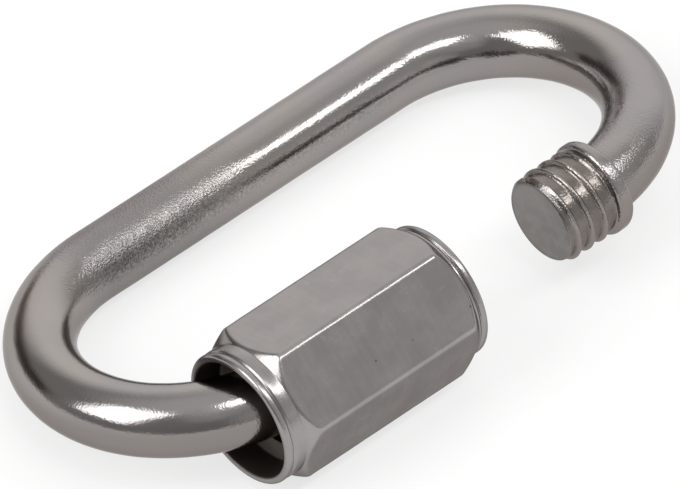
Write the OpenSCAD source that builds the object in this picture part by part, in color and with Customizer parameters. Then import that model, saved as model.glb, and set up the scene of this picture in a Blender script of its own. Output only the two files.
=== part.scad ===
// Chain quick link, lying open on a table.
// A steel rod is bent into a flat loop with a gap in one long side. The end left of the gap
// carries a long thread, the end right of it a short threaded stub with a root collar.
// A long hex sleeve nut runs on the long thread: run back, the gap is open; run forward,
// it bridges the gap and screws onto the stub.
// Millimetres. X runs along the loop, Y across it, Z is up.

/* [Rod] */
// Diameter of the round rod
rod_d = 5; // [3:0.1:10]
// Distance between the axes of the back of the loop and of the nut side
loop_width = 20.8; // [14:0.1:40]
// Distance between the centres of the two end bows
bow_span = 26.2; // [18:0.1:60]

/* [Nut] */
// Length of the sleeve nut
nut_len = 17.9; // [12:0.1:40]
// Width of the nut across its flats
nut_af = 10; // [7:0.1:20]
// Turn of the nut on its thread, 0 with two flats parallel to the loop
nut_turn = -4.1; // [-29:0.1:29]
// Depth of the round end collars below the flats
collar_step = 0.1; // [0.05:0.05:0.5]
// Length of the round collar at the mouth
collar_len = 1.6; // [1:0.1:3]
// Length of the round collar at the other end
far_collar_len = 0.9; // [0.8:0.1:3]
// Distance of the turned groove from each end
groove_at = 0.6; // [0.5:0.05:0.65]
// Width of the turned groove
groove_w = 0.24; // [0.1:0.02:0.4]
// Depth of the turned groove
groove_depth = 0.14; // [0.05:0.01:0.3]
// Wall of the nut at its wide mouth
mouth_wall = 0.55; // [0.45:0.05:1]
// Depth of the wide mouth that takes the bend of the rod
mouth_depth = 2.2; // [1.5:0.1:4]
// Lead-in at the other end of the bore
lead_in = 0.5; // [0.2:0.05:0.8]

/* [Thread] */
// Outside diameter of the thread
thread_d = 6.6; // [5.8:0.1:8]
// Thread pitch
thread_pitch = 1.2; // [0.8:0.05:1.5]
// Depth of the thread
thread_depth = 0.3; // [0.2:0.05:0.6]
// Length of the threaded stub, from its end face to the root collar
stub_len = 4.2; // [2.5:0.1:7]
// Width of the root collar behind the stub
root_collar_w = 1; // [0.5:0.1:2]
// Height of the root collar above the thread crests
root_collar_proud = 0.15; // [0.05:0.05:0.4]
// How far the root collar reaches past the start of its bow
root_collar_past = 0.9; // [0.3:0.1:1.5]
// How far the long end stands out of the open nut
tip_proud = 0.7; // [0.1:0.1:1.5]

/* [Clearances] */
// Radial running clearance of the nut on the thread crests
thread_clear = 0.05; // [0.02:0.01:0.1]
// Gap between the nut mouth and the bend of the rod when the nut is run back
bend_clear = 0.1; // [0.05:0.05:0.5]

/* [Hidden] */
$fn = 48;
rod_r = rod_d / 2;
bow_r = loop_width / 2;
bow_x = bow_span / 2;
// Nut sizes
flat_r = nut_af / 2;
corner_r = flat_r / cos(30);
collar_r = flat_r - collar_step;
mouth_r = collar_r - mouth_wall;
bore_r = thread_d / 2 + thread_clear;
lip_out = 0.5 * mouth_wall;
lip_in = 0.3 * mouth_wall;
// The domed ends meet the collars and slope about 45 degrees where they cut the corners
dome_r = (collar_r + corner_r) / sqrt(2);
dome_in = sqrt(pow(dome_r, 2) - pow(collar_r, 2));
// Thread sizes: narrow ridges and wider valleys
crest_r = thread_d / 2;
root_r = crest_r - thread_depth;
crest_w = 0.17 * thread_pitch;
ridge_w = 0.56 * thread_pitch;
tip_land = 0.5;
run_out = 0.35;
root_collar_r = crest_r + root_collar_proud;
// The nut is run back until its mouth is bend_clear away from the inside of the bend
bend_in = bow_r - rod_r;
bend_run = sqrt(pow(bend_in, 2) - pow(bow_r - mouth_r + bend_clear, 2));
nut_x = -bow_x - bend_run - lip_in;
tip_x = nut_x + nut_len + tip_proud;
collar_back_x = bow_x + root_collar_past;
stub_x = collar_back_x - root_collar_w - stub_len;
long_len = tip_x + bow_x;
long_rings = floor((long_len - tip_land - 2 * run_out - ridge_w / 2) / thread_pitch) + 1;
stub_rings = floor((stub_len - tip_land) / thread_pitch);

// Resting pose: one nut corner and the back of the loop touch the table
function nut_reach(a) = corner_r * max([for (k = [0:5]) cos(60 * k + 60 + nut_turn - a)]);
function settle(t, n) =
    n == 0 ? t : settle(asin((nut_reach(270 + t) - rod_r) / loop_width), n - 1);
tilt = settle(0, 12);
lift = nut_reach(270 + tilt);
side = (loop_width * cos(tilt) + rod_r - nut_reach(180 + tilt)) / 2;

// Points of a small rounding in a turned profile
function bend(x, y, r, from, to) =
    [for (i = [0:3]) [x + r * cos(from + (to - from) * i / 3), y + r * sin(from + (to - from) * i / 3)]];

// Outline points of a row of thread ridges
function ridges(n, first) = [for (k = [0:n - 1]) each let (c = first + k * thread_pitch) [
    [root_r, c - ridge_w / 2],
    [crest_r, c - crest_w / 2],
    [crest_r, c + crest_w / 2],
    [root_r, c + ridge_w / 2]
]];

// Lays the loop down on the table
module laid() {
    translate([0, -side, lift]) rotate([-tilt, 0, 0]) children();
}

// Turns a solid made along Z so that it runs along X from the given place
module along_x(x) {
    translate([x, 0, 0]) rotate([0, 90, 0]) children();
}

// Half-circle end of the loop
module bow(turn) {
    rotate([0, 0, turn]) rotate_extrude(angle = 180, $fn = 72)
        translate([bow_r, 0]) circle(r = rod_r, $fn = 32);
}

// Long threaded end, from the bow to its end face; the last ridge is tip_land from that face
module long_end() {
    rotate_extrude() polygon(concat(
        [[0, 0], [rod_r, 0], [rod_r, run_out], [root_r, 2 * run_out]],
        ridges(long_rings, long_len - tip_land - (long_rings - 1) * thread_pitch),
        [[root_r, long_len], [0, long_len]]
    ));
}

// Short threaded stub with its root collar
module stub_end() {
    back = stub_len + root_collar_w;
    edge = 0.25 * root_collar_w;
    rotate_extrude() polygon(concat(
        [[0, 0], [root_r, 0]],
        ridges(stub_rings, tip_land),
        [[root_r, stub_len]],
        bend(root_collar_r - edge, stub_len + edge, edge, -90, 0),
        bend(root_collar_r - edge, back - edge, edge, 0, 90),
        [[0, back]]
    ));
}

// Bent rod: back of the loop, two bows, long threaded end and short stub, all one piece
module link_rod() color([0.72, 0.71, 0.69]) laid() {
    translate([0, loop_width, 0]) rotate([0, 90, 0]) cylinder(r = rod_r, h = bow_span, center = true);
    translate([-bow_x, bow_r, 0]) bow(90);
    translate([bow_x, bow_r, 0]) bow(-90);
    along_x(-bow_x) long_end();
    along_x(stub_x) stub_end();
}

// Round core of the nut, as turned: rounded lips and a groove near each end
module nut_core() {
    half = concat(
        bend(collar_r - lip_out, lip_out, lip_out, -90, 0),
        [
            [collar_r, groove_at - groove_w / 2],
            [collar_r - groove_depth, groove_at],
            [collar_r, groove_at + groove_w / 2]
        ]
    );
    last = len(half) - 1;
    other = [for (i = [0:last]) [half[last - i][0], nut_len - half[last - i][1]]];
    rotate_extrude() polygon(concat([[0, 0]], half, other, [[0, nut_len]]));
}

// Domed end that cuts the hex corners back to the collar, open toward the other end
module nut_dome(collar) {
    translate([0, 0, collar + dome_in]) {
        sphere(r = dome_r);
        cylinder(r = corner_r + 0.5, h = nut_len);
    }
}

// Hex body with both ends domed
module nut_hex() {
    intersection() {
        rotate([0, 0, 30 + nut_turn]) cylinder(r = corner_r, h = nut_len, $fn = 6);
        nut_dome(collar_len);
        translate([0, 0, nut_len]) mirror([0, 0, 1]) nut_dome(far_collar_len);
    }
}

// Bore of the nut: wide rounded mouth, step, threaded length and lead-in
module nut_bore() {
    lip_r = mouth_r + lip_in;
    rotate_extrude() polygon(concat(
        [[0, -1], [lip_r, -1]],
        bend(lip_r, lip_in, lip_in, 270, 180),
        [
            [mouth_r, mouth_depth],
            [bore_r, mouth_depth + (mouth_r - bore_r) / 2],
            [bore_r, nut_len - lead_in],
            [bore_r + lead_in, nut_len],
            [bore_r + lead_in, nut_len + 1],
            [0, nut_len + 1]
        ]
    ));
}

// Hex sleeve nut, drawn run back on the long thread
module sleeve_nut() color([0.62, 0.61, 0.60]) laid() along_x(nut_x) difference() {
    union() {
        nut_core();
        nut_hex();
    }
    nut_bore();
}

link_rod();
sleeve_nut();
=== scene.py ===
import math
import bpy
import numpy as np
from mathutils import Matrix, Vector


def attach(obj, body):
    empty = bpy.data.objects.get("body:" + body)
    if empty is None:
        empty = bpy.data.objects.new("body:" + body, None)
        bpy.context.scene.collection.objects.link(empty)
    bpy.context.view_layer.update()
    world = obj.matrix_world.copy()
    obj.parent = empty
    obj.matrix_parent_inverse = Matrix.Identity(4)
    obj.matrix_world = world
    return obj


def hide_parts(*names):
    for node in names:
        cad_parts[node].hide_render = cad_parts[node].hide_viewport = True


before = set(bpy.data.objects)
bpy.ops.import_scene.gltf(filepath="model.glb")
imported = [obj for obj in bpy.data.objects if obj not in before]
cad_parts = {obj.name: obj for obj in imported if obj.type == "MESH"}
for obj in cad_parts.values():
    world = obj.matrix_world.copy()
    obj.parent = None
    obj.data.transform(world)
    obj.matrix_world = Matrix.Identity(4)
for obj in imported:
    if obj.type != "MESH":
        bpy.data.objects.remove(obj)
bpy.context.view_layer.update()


# LINK ROD
# Round steel rod, threaded at both ends and cold bent into a flat loop with a gap in one long
# side. Bright zinc plate, grained by drawing and bending; the threads are rolled, and the short
# end has an upset collar at the root of its thread. It lies on its back and on the nut.

rest_tilt = math.radians(8.301946)
rest_side, rest_lift = 8.721628, 5.503308


def laid(points):
    """Link coordinates in mm, loop flat and nut axis on X, to the resting pose in metres."""
    x, y, z = np.moveaxis(np.asarray(points, float), -1, 0)
    return 0.001 * np.stack([x, y * math.cos(rest_tilt) + z * math.sin(rest_tilt) - rest_side,
                             z * math.cos(rest_tilt) - y * math.sin(rest_tilt) + rest_lift], -1)


def skin(name, rings, capped, sharp):
    """Mesh of quads through rings of points; capped closes both ends, else the rings close round."""
    rows, cols = rings.shape[:2]
    here = np.arange(rows * cols).reshape(rows, cols)
    if not capped:
        here = np.vstack([here, here[:1]])
    side = np.roll(here, -1, 1)
    faces = np.stack([here[:-1], here[1:], side[1:], side[:-1]], -1).reshape(-1, 4).tolist()
    if capped:
        faces += [here[0].tolist(), here[-1][::-1].tolist()]
    mesh = bpy.data.meshes.new(name)
    mesh.from_pydata(laid(rings).reshape(-1, 3).tolist(), [], faces)
    mesh.shade_smooth()
    mesh.set_sharp_from_angle(angle=math.radians(sharp))
    mesh.validate()
    made = bpy.data.objects.new(name, mesh)
    bpy.context.scene.collection.objects.link(made)
    return made


def wave(a, b, seed):
    """Slow uneven surface, about -1 to 1, over two running lengths."""
    total = 0
    for k in range(5):
        lean = math.sin(seed * 12.9 + k * 78.2) * 43.7 % 3
        start = math.sin(seed * 39.3 + k * 11.1) * 21.1
        total = total + np.sin(a * (0.6 + 0.55 * k) + lean * b + start) / (1 + 0.35 * k)
    return total / 3


def ridge(off, pitch, crest, foot):
    """Height 0 to 1 of a thread ridge, off mm from the middle of a ridge."""
    off = np.abs((off + pitch / 2) % pitch - pitch / 2)
    rise = np.clip((foot - off) / (foot - crest), 0, 1)
    return 0.45 * rise + 0.55 * rise * rise * (3 - 2 * rise)


bow_r, half_span, rod_r = 10.4, 13.1, 2.5
tip_x, stub_x = 0.3764, 8.8
root_r, crest_r, pitch = 3.0, 3.3, 1.2
crest_half, foot_half = 0.05, 0.24
ridge_x, ridge_turn = stub_x + 0.47, 138
tip_edge_r, stub_edge_r, edge_slope = 2.85, 2.92, 0.9
stub_thread, stub_fade = 4.2, 0.5
long_bare, long_fade, long_taper = 0.7, 0.9, 0.35
collar_past, collar_end = 0.9, 1.1
end_face_r, worn_depth = 2.3, 0.012

# Distances along the rod, from its long tip to the face of its stub
bow_run = math.pi * bow_r
left_bow_at, back_at, right_bow_at, stub_at, face_at = np.cumsum(
    [tip_x + half_span, bow_run, 2 * half_span, bow_run, half_span - stub_x])
collar_at = stub_at - collar_past

# Rows of the end faces, with the sizes of the first, and of the root collar, all in mm
tip_rows = np.array([0, 0, 0, 0, 0.015, 0.04, 0.08])
tip_sizes = [0.25, 1.0, 1.9, 2.6]
collar_rows = np.array([-0.5, -0.3, -0.2, -0.12, -0.05, -0.01, 0.02, 0.05, 0.1, 0.17, 0.25, 0.4,
                        0.6, 0.75, 0.83, 0.9, 0.95, 0.98, 1.01, 1.04, 1.08])
collar_sizes = np.array([2.5, 2.5, 2.505, 2.53, 2.6, 2.75, 3.1, 3.25, 3.35, 3.42, 3.45, 3.45,
                         3.45, 3.45, 3.42, 3.36, 3.29, 3.2, 3.1, 3.03, 3.0])
reach = np.concatenate([
    tip_rows,
    np.arange(0.12, left_bow_at - 0.75, pitch / 22),
    np.linspace(left_bow_at - 0.72, left_bow_at - 0.3, 9),
    np.linspace(left_bow_at - 0.15, back_at, 92),
    np.linspace(back_at, right_bow_at, 46)[1:],
    np.linspace(right_bow_at, collar_at - 0.7, 90)[1:],
    collar_at + collar_rows,
    np.arange(collar_at + 1.12, face_at - 0.1, pitch / 22),
    face_at - tip_rows[::-1]])
theta = np.linspace(0, 2 * math.pi, 96, endpoint=False)

# Middle line of the rod, and the direction away from the loop's middle at each row
turn_in = np.clip((reach - left_bow_at) / bow_run, 0, 1) * math.pi
turn_out = np.clip((reach - right_bow_at) / bow_run, 0, 1) * math.pi
out_x = np.sin(turn_out) - np.sin(turn_in)
out_y = np.where(reach < right_bow_at, -np.cos(turn_in), np.cos(turn_out))
along = np.select(
    [reach < left_bow_at, reach < back_at, reach < right_bow_at, reach < stub_at],
    [tip_x - reach, -half_span, reach - back_at - half_span, half_span],
    half_span - (reach - stub_at))
on_back = (reach >= back_at) & (reach < right_bow_at)
on_bow = (reach >= left_bow_at) & (reach <= stub_at) & ~on_back
centre = np.stack([along + np.where(on_bow, bow_r * out_x, 0),
                   np.where(on_bow, bow_r + bow_r * out_y, np.where(on_back, 2 * bow_r, 0)),
                   0 * reach], -1)
outward = np.stack([out_x, out_y, 0 * reach], -1)

# Half thickness at each row and angle: long thread, plain rod, collar, stub thread, end faces
angle = 180 - np.degrees(theta)[None, :]
here = reach[:, None]
phase = centre[:, :1] - ridge_x - pitch * (angle - ridge_turn) / 360
thread = (crest_r - root_r) * ridge(phase, pitch, crest_half, foot_half)
long_end = root_r + thread * np.clip((left_bow_at - long_bare - here) / long_fade, 0, 1)
long_end = np.minimum(long_end, tip_edge_r + edge_slope * here)
plain = np.interp(here, [left_bow_at - long_bare, left_bow_at - long_taper], [root_r, rod_r])
size = np.where(here < left_bow_at - long_bare, long_end, plain)
from_face = face_at - here
stub_end = root_r + thread * np.clip((stub_thread - from_face) / stub_fade, 0, 1)
stub_end = np.minimum(stub_end, stub_edge_r + edge_slope * from_face)
size = np.where(here > collar_at + collar_end, stub_end, size)
neck = (reach >= collar_at + collar_rows[0]) & (reach <= collar_at + collar_end)
size[neck] = np.interp(here[neck] - collar_at, collar_rows, collar_sizes)
for i, tip_size in enumerate(tip_sizes):
    size[[i, -1 - i]] = tip_size
wear = 0.6 * wave(here, 2 * np.cos(theta), 1.7) + 0.4 * wave(2.3 * here, 3 * np.sin(theta), 5.1)
size = size - worn_depth * (1 + wear) * (size > end_face_r)

rings = centre[:, None, :] + size[..., None] * (
    np.cos(theta)[None, :, None] * outward[:, None, :]
    + np.sin(theta)[None, :, None] * np.array([0, 0, 1.0]))
rod = skin("link_rod_look", rings[:, ::-1], True, 55)


class Val:
    """One shader socket; arithmetic on it adds Math nodes to its tree."""

    def __init__(self, tree, out=None):
        self.tree, self.out = tree, out

    def node(self, kind, settings, inputs, out=0):
        """New node: its settings first, then the values or links of its sockets."""
        made = self.tree.nodes.new(kind)
        for key, value in settings.items():
            setattr(made, key, value)
        for key, value in inputs.items():
            if isinstance(value, Val):
                self.tree.links.new(value.out, made.inputs[key])
            else:
                made.inputs[key].default_value = value
        return Val(self.tree, made.outputs[out] if made.outputs else None)

    def math(self, way, *terms):
        return self.node("ShaderNodeMath", {"operation": way}, dict(enumerate(terms)))

    def __add__(self, other):
        return self.math("ADD", self, other)

    def __radd__(self, other):
        return self.math("ADD", other, self)

    def __sub__(self, other):
        return self.math("SUBTRACT", self, other)

    def __rsub__(self, other):
        return self.math("SUBTRACT", other, self)

    def __mul__(self, other):
        return self.math("MULTIPLY", self, other)

    def __rmul__(self, other):
        return self.math("MULTIPLY", other, self)

    def vector(self, way, other, out=0):
        """Vector Math of this vector and another."""
        return self.node("ShaderNodeVectorMath", {"operation": way}, {0: self, 1: other}, out)

    def part(self, letter):
        """X, Y or Z of this vector."""
        return self.node("ShaderNodeSeparateXYZ", {}, {0: self}, letter)

    def noise(self, scale, detail, rough=0.5):
        """Noise over this place."""
        return self.node("ShaderNodeTexNoise", {}, {
            "Vector": self, "Scale": scale, "Detail": detail, "Roughness": rough})

    def ramp(self, low, high, start=0.0, end=1.0):
        """Smooth step of this value from low to high, onto start to end."""
        return self.node("ShaderNodeMapRange", {"interpolation_type": "SMOOTHSTEP"},
                         {0: self, 1: low, 2: high, 3: start, 4: end})

    def mix(self, first, second):
        """Colour between two others, by this value."""
        return self.node("ShaderNodeMix", {"data_type": "RGBA"}, {0: self, 6: first, 7: second}, 2)


def material(obj, name):
    """New node material on the object, and the place in mm to draw its detail by."""
    made = bpy.data.materials.new(name)
    made.use_nodes = True
    made.node_tree.nodes.clear()
    obj.data.materials.append(made)
    pen = Val(made.node_tree)
    where = pen.node("ShaderNodeTexCoord", {}, {}, "Object")
    return pen, pen.node("ShaderNodeVectorMath", {"operation": "SCALE"}, {0: where, "Scale": 1000.0})


def from_nut_axis(mm):
    """Distance in mm from the nut's axis, as the link lies."""
    return mm.vector("MULTIPLY", (0.0, 1.0, 1.0)).vector(
        "DISTANCE", (0.0, -rest_side, rest_lift), "Value")


def finish_metal(pen, colour, rough, height, depth, rim):
    """Plated steel; rim is its tint where it is seen edge on, depth the bump's height in metres."""
    bump = pen.node("ShaderNodeBump", {}, {"Strength": 1.0, "Distance": depth, "Height": height})
    steel = pen.node("ShaderNodeBsdfPrincipled", {}, {
        "Base Color": colour, "Metallic": 1.0, "Roughness": rough, "Specular Tint": rim, "Normal": bump})
    pen.node("ShaderNodeOutputMaterial", {}, {"Surface": steel})


plate_cool, plate_warm = (0.316, 0.301, 0.301, 1), (0.340, 0.317, 0.302, 1)
painted_shade_brown, painted_shade_grey = (0.245, 0.219, 0.209, 1), (0.2, 0.186, 0.182, 1)
fleck_dark, fleck_light = (0.12, 0.107, 0.103, 1), (0.5, 0.485, 0.475, 1)
valley_brown, sawn_grey = (0.12, 0.098, 0.084, 1), (0.27, 0.266, 0.262, 1)
rod_rim, rod_bump = (0.66, 0.64, 0.63, 1), 0.00004

pen, mm = material(rod, "rod_steel")
grain = mm.noise(9.0, 2.0, 0.6)
fleck = mm.noise(5.0, 2.0, 0.6)
blotch = mm.noise(0.9, 3.0, 0.6)
pits = pen.node("ShaderNodeTexVoronoi", {"feature": "SMOOTH_F1"},
                {"Vector": mm, "Scale": 6.5, "Smoothness": 0.4}, "Distance")
run, side = mm.part("X"), mm.part("Y")
back_side = side.ramp(7.0, 8.5)
round_back = mm.vector("DOT_PRODUCT", (0.0, 0.55, 0.835), "Value")
loop_up = mm.vector("DOT_PRODUCT", (0.0, math.sin(rest_tilt), math.cos(rest_tilt)), "Value")

# Painted shade: browner and darker toward the underside; smooth left bow and mouth end, bright right half,
# and grain on what is left
painted_underside_shade = loop_up.ramp(4.4, 5.7, 1.0, 0.0) * side.ramp(1.0, 11.0, 0.85, 0.2)
smooth = run.ramp(-20.0, -16.0, 1.0, 0.0)
mouth_end = run.ramp(-15.0, -11.0, 1.0, 0.0) * side.ramp(-4.0, -1.0, 0.9, 0.0)
smooth = smooth.math("MAXIMUM", smooth, mouth_end)
bright = run.ramp(-4.0, 2.0) * side.ramp(-5.0, -2.0)
grained = mm.noise(0.5, 3.0, 0.6).ramp(0.30, 0.65, 0.25, 1.0) * (1 - 0.85 * smooth) * (1 - 0.78 * bright)

# Dull left half of the back, its colour also darkened there as painted shade that dims its highlight, and
# the flecked band along the front of the back
dull_and_shade = run.ramp(-17.0, -13.0) * run.ramp(-9.0, 3.0, 1.0, 0.0) * back_side
bright_back = run.ramp(-4.0, 3.0) * run.ramp(9.0, 15.0, 1.0, 0.0) * back_side
flecked = dull_and_shade * round_back.ramp(9.3, 10.2, 1.0, 0.0)
flecked = flecked + 0.4 * bright_back * round_back.ramp(8.5, 9.1, 1.0, 0.0)
flecked = flecked * round_back.ramp(7.0, 8.0)

# Thread valleys coloured darker brown, and the sawn face of the stub
threaded = run.ramp(-13.0, -12.4) * run.ramp(12.8, 13.0, 1.0, 0.0) * side.ramp(-3.0, -2.0, 1.0, 0.0)
valley = threaded * from_nut_axis(mm).ramp(2.99, 3.18, 1.0, 0.0)
sawn = threaded * run.ramp(8.83, 8.88, 1.0, 0.0) * run.ramp(8.6, 8.7)

colour = mm.noise(0.16, 2.0).ramp(0.38, 0.62).mix(plate_cool, plate_warm)
# Painted shade: the rod's colour turns darker and browner toward its underside
colour = painted_underside_shade.mix(colour, painted_shade_brown)
# Painted shade: a darker colour over the left half of the back dims its highlight there
colour = (0.35 * dull_and_shade).mix(colour, painted_shade_grey)
colour = (0.55 * flecked * fleck.ramp(0.38, 0.52, 1.0, 0.0)).mix(colour, fleck_dark)
colour = (flecked * fleck.ramp(0.54, 0.66) * run.ramp(-15.0, -6.0, 0.1, 0.5)).mix(colour, fleck_light)
# Darker brown in the thread valleys, mottled by noise
colour = (valley * (0.54 + 0.9 * (blotch - 0.5))).mix(colour, valley_brown)
colour = (sawn * blotch.ramp(0.3, 0.7, 0.35, 0.9)).mix(colour, sawn_grey)
rough = 0.13 + 0.05 * grained - 0.03 * bright + 0.17 * dull_and_shade + 0.10 * (grain - 0.5)
rough = rough + 0.03 * valley + 0.16 * sawn
height = (0.15 + 0.85 * grained + 0.5 * dull_and_shade) * (0.55 * (grain - 0.5) + 0.45 * (pits - 0.4))
finish_metal(pen, colour, rough, height, rod_bump, rod_rim)
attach(rod, "rod")
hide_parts("link_rod")


# SLEEVE NUT
# Long hexagon steel nut, drawn bar turned at both ends to a grooved collar and a rounded lip,
# drilled and tapped through, with a wide mouth at the left that takes the bend of the rod.
# Same zinc plate, satin on the flats. It runs on the long thread and rests run back.

nut_x, nut_len, flat_r, edge_r = -18.2236, 17.9, 5.0, 0.55
collar_r, mouth_collar, far_collar = 4.9, 1.6, 0.9
mouth_r, bore_r, lip_r, mouth_lip_r = 4.35, 3.35, 0.27, 0.165
tap_at, tap_fade, tap_end, tap_depth, tap_crest, tap_foot = 2.8, 1.2, 0.5, 0.28, 0.14, 0.42
nick_depth, nick_wide, soft_join = 0.05, math.radians(1.3), 0.2
corner, sixth = math.radians(55.9), math.pi / 3

# Angles round the nut, closer together at its six corners
near = np.radians([3.7, 3.2, 2.7, 2.1, 1.5, 0.75, 0.0])
near = np.concatenate([-near[:-1], near[::-1]])
wide = np.linspace(near[-1], sixth - near[-1], 18)[1:-1]
round_nut = np.concatenate([corner + k * sixth + np.concatenate([near, wide]) for k in range(6)])

# Hexagon with rounded corners, as a distance from the axis for each angle
off = (round_nut - corner + sixth / 2) % sixth - sixth / 2
corner_r = flat_r / math.cos(sixth / 2)
core = (flat_r - edge_r) / math.cos(sixth / 2)
across_core = core * np.sin(off)
rounded = core * np.cos(off) + np.sqrt(np.maximum(edge_r ** 2 - across_core ** 2, 0))
hex_r = np.where(np.abs(across_core) < edge_r * 0.5, rounded, flat_r / np.cos(sixth / 2 - np.abs(off)))

# The turned ends follow a sphere, from the collar out to the corners of the hexagon
dome_r = (collar_r + corner_r) / math.sqrt(2)
dome_in = math.sqrt(dome_r ** 2 - collar_r ** 2)
edge_in = dome_in - np.sqrt(dome_r ** 2 - hex_r ** 2)


def nut_outside(past):
    """Outside of a nut end, past mm beyond its collar: its dome and the hexagon, softly joined."""
    dome = np.sqrt(np.maximum(dome_r ** 2 - (dome_in - np.minimum(past, dome_in)) ** 2, 0))
    dome = np.maximum(collar_r, dome)
    blend = np.maximum(soft_join - np.abs(dome - hex_r), 0)
    return np.minimum(dome, hex_r) - blend ** 2 / (4 * soft_join)


def arc(x, r, radius, start, end, steps):
    """Points on an arc about x, r, between two angles in degrees."""
    turns = np.radians(np.linspace(start, end, steps))
    return [(x + radius * math.sin(a), r + radius * math.cos(a)) for a in turns]


ones = np.ones_like(round_nut)
groove = [(0.36, collar_r), (0.46, 4.893), (0.5, 4.87), (0.545, 4.80), (0.59, 4.765), (0.63, 4.775),
          (0.67, 4.82), (0.71, 4.865), (0.75, 4.89)]


def nut_end(collar):
    """Rows of one end, from its rounded lip over the groove and collar to the flats."""
    made = [(x * ones, r * ones) for x, r in arc(lip_r, collar_r - lip_r, lip_r, -90, 0, 8) + groove]
    made += [((0.8 + (collar - 0.88) * t) * ones, collar_r * ones) for t in (0.0, 0.4, 0.8, 1.0)]
    places = [-0.03 + (edge_in - 0.03) * t for t in (0.0, 0.12, 0.3, 0.55, 0.8, 1.0)]
    places += [edge_in + d for d in (-0.035, -0.01, 0.02, 0.05, 0.09, 0.15, 0.25)]
    return made + [(collar + past, nut_outside(past)) for past in places]


rows = nut_end(mouth_collar)
far_rows = [(nut_len - x, r) for x, r in nut_end(far_collar)[::-1]]
first, last = rows[-1][0], far_rows[0][0]
rows += [(first + (last - first) * t, hex_r) for t in np.linspace(0, 1, 26)[1:-1]] + far_rows
outside = len(rows)

# Bore: lead-in at the right end, tapped length, step and wide mouth with its rounded lip
lead_in = [(0, 4.45), (0, 4.1), (0, 3.95), (0.01, 3.88), (0.05, 3.81), (0.2, 3.66), (0.4, 3.46),
           (0.47, 3.4), (0.55, 3.36)]
rows += [((nut_len - x) * ones, r * ones) for x, r in lead_in]
for x in np.arange(nut_len - 0.62, tap_at + 0.02, -pitch / 16):
    tap = nut_x + x - ridge_x - pitch * (np.degrees(round_nut) - ridge_turn) / 360 - pitch / 2
    fade = max(min(1, (x - tap_at) / tap_fade, (nut_len - tap_end - x) / tap_end), 0)
    rows.append((x * ones, bore_r - tap_depth * fade * ridge(tap, pitch, tap_crest, tap_foot)))
step = [(2.76, 3.35), (2.7, 3.36), (2.66, 3.42), (2.5, 3.75), (2.35, 4.05), (2.24, 4.27), (2.18, 4.33)]
mouth = [(x, mouth_r) for x in (2.08, 1.5, 0.9, 0.4)]
lip = arc(mouth_lip_r, mouth_r + mouth_lip_r, -mouth_lip_r, 0, 90, 6)
rows += [(x * ones, r * ones) for x, r in step + mouth + lip]

nut_along = np.array([np.broadcast_to(x, round_nut.shape) for x, r in rows])
nut_r = np.array([np.broadcast_to(r, round_nut.shape) for x, r in rows])

# Outside worn a little unevenly, with small nicks along the six edges
nut_cos, nut_sin = np.cos(round_nut), np.sin(round_nut)
wear = 0.6 * wave(nut_along, 2.0 * nut_cos, 3.3) + 0.4 * wave(1.7 * nut_along, 3.0 * nut_sin, 8.2)
nicks = np.clip(wave(2.6 * nut_along, 2.5 * nut_cos, 4.4) - 0.25, 0, 1)
nicks = nicks * np.exp(-(off / nick_wide) ** 2) * (nut_along > 2.4) * (nut_along < nut_len - 1.7)
nut_r[:outside] -= (worn_depth * (0.5 + 0.5 * wear) + nick_depth * nicks)[:outside]
rings = np.stack([nut_x + nut_along, nut_r * nut_cos, nut_r * nut_sin], -1)
nut = skin("sleeve_nut_look", rings[:, ::-1], False, 38)

flat_dark, flat_light = (0.312, 0.297, 0.295, 1), (0.355, 0.339, 0.331, 1)
smear_light, speck_dark = (0.368, 0.353, 0.345, 1), (0.17, 0.16, 0.155, 1)
bore_shade_brown, nut_rim, nut_bump = (0.2, 0.172, 0.152, 1), (0.4, 0.38, 0.37, 1), 0.00001

pen, mm = material(nut, "nut_steel")
drawn = pen.node("ShaderNodeTexNoise", {"noise_dimensions": "1D"}, {
    "W": mm.part("X"), "Scale": 2.3, "Detail": 4.0, "Roughness": 0.7})
patch = mm.noise(0.45, 3.0, 0.55)
grain = mm.noise(4.5, 4.0, 0.6)
specks = pen.node("ShaderNodeTexVoronoi", {}, {"Vector": mm, "Scale": 0.62}, "Distance")
smear = mm.vector("MULTIPLY", (0.5, 1.0, 1.0)).noise(0.55, 4.0, 0.65)
off_axis = from_nut_axis(mm)

colour = (0.75 * patch.ramp(0.35, 0.65) + 0.25 * drawn.ramp(0.35, 0.65)).mix(flat_dark, flat_light)
colour = smear.ramp(0.60, 0.68).mix(colour, smear_light)
colour = specks.ramp(0.03, 0.07).mix(speck_dark, colour)
# Painted shade: the inside of the bore is coloured darker and browner than the plate
colour = off_axis.ramp(4.36, 4.52).mix(bore_shade_brown, colour)
rough = 0.25 + 0.10 * (patch - 0.5) + 0.08 * (grain - 0.5) + 0.05 * (drawn - 0.5)
rough = rough + off_axis.ramp(4.36, 4.52, 0.22, 0.0)
height = 0.6 * grain + 0.25 * drawn
finish_metal(pen, colour, rough, height, nut_bump, nut_rim)
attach(nut, "nut")
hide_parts("sleeve_nut")


# FLOOR
# Plain white sheet that the link lies on, much larger than the view. It is partly its own
# light where it is seen, also in the metal, so that it is white and keeps a soft shadow.

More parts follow.
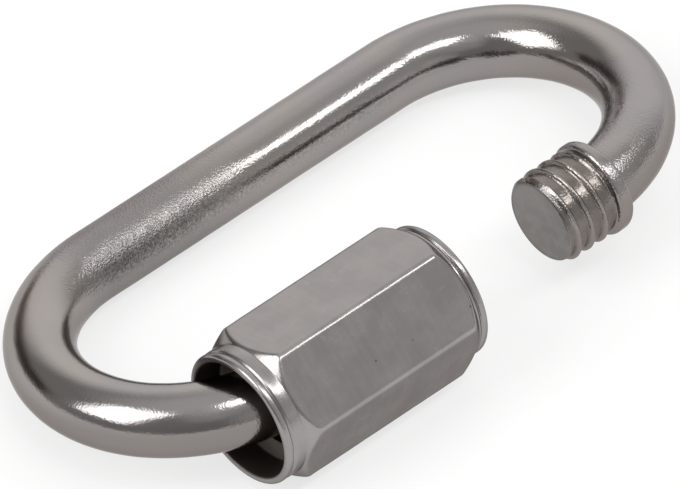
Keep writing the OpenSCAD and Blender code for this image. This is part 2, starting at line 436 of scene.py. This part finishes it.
bpy.ops.mesh.primitive_plane_add(size=6.0, location=(0, 0, 0))
floor = bpy.context.object
floor.name = "floor"
pen, mm = material(floor, "pale_floor")
sheet = pen.node("ShaderNodeBsdfDiffuse", {}, {"Color": (0.9, 0.9, 0.9, 1)})
seen = pen.node("ShaderNodeLightPath", {}, {}, "Is Camera Ray")
for kind in ("Is Glossy Ray", "Is Transmission Ray"):
    seen = seen.math("MAXIMUM", seen, pen.node("ShaderNodeLightPath", {}, {}, kind))
white = pen.node("ShaderNodeEmission", {}, {"Color": (1.0, 1.0, 1.0, 1), "Strength": 1.0})
sheet = pen.node("ShaderNodeMixShader", {}, {0: 0.7 * seen, 1: sheet, 2: white})
pen.node("ShaderNodeOutputMaterial", {}, {"Surface": sheet})


# LIGHT
# A large soft lamp at the left, a row of three small ones from the front right to overhead, and
# a room that is light at the back right and overhead, with a low brown dark part at the back.

def lamp(name, place, width, depth, power):
    """Rectangular lamp that faces the link, sizes in metres."""
    light = bpy.data.lights.new(name, "AREA")
    light.shape, light.size, light.size_y, light.energy = "RECTANGLE", width, depth, power
    made = bpy.data.objects.new(name, light)
    made.location = place
    made.rotation_euler = Vector(place).to_track_quat("Z", "Y").to_euler()
    bpy.context.scene.collection.objects.link(made)


lamp("key", (-1.464, 0.365, 1.312), 1.15, 1.4, 20.0)
lamp("fill", (0.95, -0.8, 1.38), 0.55, 0.3, 3.3)
lamp("middle", (0.411, -0.804, 1.64), 0.45, 0.4, 3.2)
lamp("top", (-0.103, -0.735, 1.749), 0.55, 0.5, 5.0)

room = bpy.data.worlds.new("room")
bpy.context.scene.world = room
room.use_nodes = True
room.node_tree.nodes.clear()
pen = Val(room.node_tree)
facing = pen.node("ShaderNodeTexCoord", {}, {}, "Generated")


def lobe(azimuth, elevation, far, near):
    """1 toward a direction of the room, 0 from far degrees away; azimuth 0 is the front."""
    a, e = math.radians(azimuth), math.radians(elevation)
    way = (math.sin(a) * math.cos(e), -math.cos(a) * math.cos(e), math.sin(e))
    return facing.vector("DOT_PRODUCT", way, "Value").ramp(
        math.cos(math.radians(far)), math.cos(math.radians(near)))


upward = facing.part("Z")
shade = upward.ramp(0.02, 0.13) * upward.ramp(0.25, 0.40, 1.0, 0.0) * lobe(-172, 10, 36, 27)
level = 0.34 + 0.85 * lobe(128, 12, 58, 15) + 0.50 * lobe(0, 90, 48, 10) + 0.24 * lobe(35, 32, 45, 15)
level = level + 0.25 * lobe(-32, 46, 24, 6) + 0.26 * lobe(-8, 14, 22, 8) + 0.12 * lobe(28, 8, 20, 6)
tone = shade.mix((1.0, 0.985, 0.975, 1), (1.0, 0.82, 0.77, 1))
sky = pen.node("ShaderNodeBackground", {}, {"Color": tone, "Strength": level * (1 - 0.76 * shade)})
pen.node("ShaderNodeOutputWorld", {}, {"Surface": sky})
bpy.context.scene.view_settings.view_transform = "Standard"


# CAMERA
# Long lens from the front left, 43 degrees up, with a slight roll. It looks at the middle of the
# link from about a metre away; places are in metres.

azimuth, elevation, roll = (math.radians(a) for a in (-39.328, 42.953, -4.022))
middle = Vector((0, 0.0015694, 0.0040017))
shift_right, shift_up, away = -0.000045, -0.001087, 1.0417
lens = bpy.data.cameras.new("camera")
lens.sensor_width, lens.sensor_fit, lens.lens = 36.0, "HORIZONTAL", 825.4
lens.clip_start, lens.clip_end = 0.05, 50.0
camera = bpy.data.objects.new("camera", lens)
bpy.context.scene.collection.objects.link(camera)
turn = Matrix.Rotation(azimuth, 4, "Z") @ Matrix.Rotation(math.pi / 2 - elevation, 4, "X")
turn = turn @ Matrix.Rotation(roll, 4, "Z")
camera.matrix_world = Matrix.Translation(middle) @ turn @ Matrix.Translation((shift_right, shift_up, away))
bpy.context.scene.camera = camera
